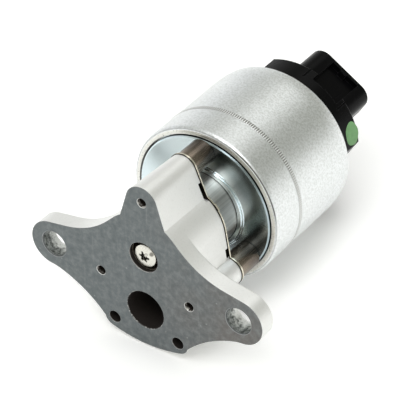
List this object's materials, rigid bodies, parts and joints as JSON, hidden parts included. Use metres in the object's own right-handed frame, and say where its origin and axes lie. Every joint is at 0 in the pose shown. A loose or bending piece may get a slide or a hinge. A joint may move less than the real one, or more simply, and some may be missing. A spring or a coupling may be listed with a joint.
{
  "type": "egr valve",
  "caption": "Linear solenoid exhaust gas recirculation valve with a two-bolt flange, a sprung pintle, a plated can and a capped position sensor with a connector.",
  "frame": {"origin": "on the valve axis, in the mounting face", "axes": "+Y along the valve axis from the mounting face to the connector, X through the two bolt ears, +Z through the top screw boss, away from the gas port"},
  "size_m": [0.0874, 0.0975, 0.0616],
  "materials": {
    "cast_aluminium": "as cast, satin, with a ground mounting face",
    "stainless_steel": "bright, turned",
    "sintered_steel": "grey sintered",
    "gasket_brown": "thin steel and graphite gasket, brown edge",
    "tinted_steel": "turned, heat tinted brown",
    "screw_steel": "phosphated",
    "zinc_plate": "bright zinc plated, fine grain",
    "turned_steel": "turned, brushed",
    "bobbin_plastic": "natural glass-filled",
    "copper_winding": "enamelled copper wire",
    "spring_steel": "drawn",
    "black_plastic": "moulded, satin",
    "seal_rubber": "moulded",
    "board": "ceramic board with resistive track",
    "tinned_brass": "tinned"
  },
  "bodies": {
    "housing": {"base_gasket": "gasket_brown", "bobbin": "bobbin_plastic", "can_bottom_plate": "zinc_plate", "cap_seal": "seal_rubber", "coil_terminal_left": "tinned_brass", "coil_terminal_right": "tinned_brass", "coil_winding": "copper_winding", "deflector_ring": "stainless_steel", "guide_sleeve": "stainless_steel", "heat_shield": "stainless_steel", "housing_screw_left": "screw_steel", "housing_screw_right": "screw_steel", "housing_screw_top": "screw_steel", "lower_pole": "turned_steel", "pole_bushing": "sintered_steel", "return_spring": "spring_steel", "sensor_board": "board", "sensor_cap": "black_plastic", "sensor_spring": "spring_steel", "solenoid_can": "zinc_plate", "spacer_sleeve_left": "tinted_steel", "spacer_sleeve_right": "tinted_steel", "spacer_sleeve_top": "tinted_steel", "stem_guide": "sintered_steel", "terminal_pin_1": "tinned_brass", "terminal_pin_2": "tinned_brass", "terminal_pin_3": "tinned_brass", "terminal_pin_4": "tinned_brass", "terminal_pin_5": "tinned_brass", "upper_pole": "turned_steel", "valve_base": "cast_aluminium", "valve_seat": "stainless_steel"},
    "pintle_assembly": {"pintle": "stainless_steel", "armature": "turned_steel", "armature_nut": "stainless_steel"},
    "sensor_assembly": {"sensor_plunger": "black_plastic", "wiper_contact": "tinned_brass"}
  },
  "joints": [
    {"name": "pintle_lift", "type": "slide", "parent": "housing", "child": "pintle_assembly", "axis": [0, 1, 0], "range_m": [0, 0.0045], "stiffness_N_per_m": 1200, "springref_m": -0.01, "deforming": ["return_spring"]},
    {"name": "sensor_follow", "type": "slide", "parent": "housing", "child": "sensor_assembly", "axis": [0, 1, 0], "range_m": [0, 0.0045], "stiffness_N_per_m": 40, "springref_m": -0.008, "deforming": ["sensor_spring"]}
  ],
  "couplings": [
    {"joint": "sensor_follow", "follows": "pintle_lift", "ratio": 1}
  ]
}
